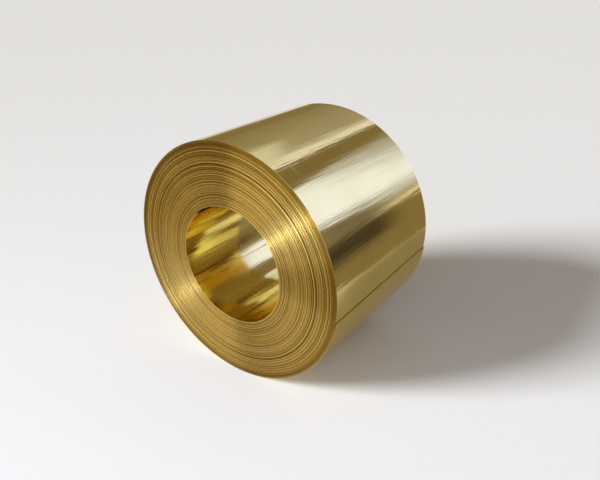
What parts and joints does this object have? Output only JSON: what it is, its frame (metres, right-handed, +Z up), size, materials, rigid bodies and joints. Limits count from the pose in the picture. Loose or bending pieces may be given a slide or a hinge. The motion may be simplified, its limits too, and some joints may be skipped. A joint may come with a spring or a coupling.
{
  "type": "brass strip coil",
  "caption": "Flat brass strip wound into a tight coil with an open bore, as slit stock for a decoiler or press feed.",
  "frame": {"origin": "middle of the bore, on its axis, halfway along the strip's width", "axes": "the bore runs along Y and is level; -Y is the front end, which shows in the picture; +Z up; the coil lies on its side"},
  "size_m": [0.313, 0.2208, 0.314],
  "materials": {
    "brass_strip": "bright rolled strip, with slit edges on the ends"
  },
  "bodies": {
    "root": {"strip_coil": "brass_strip"}
  },
  "joints": []
}
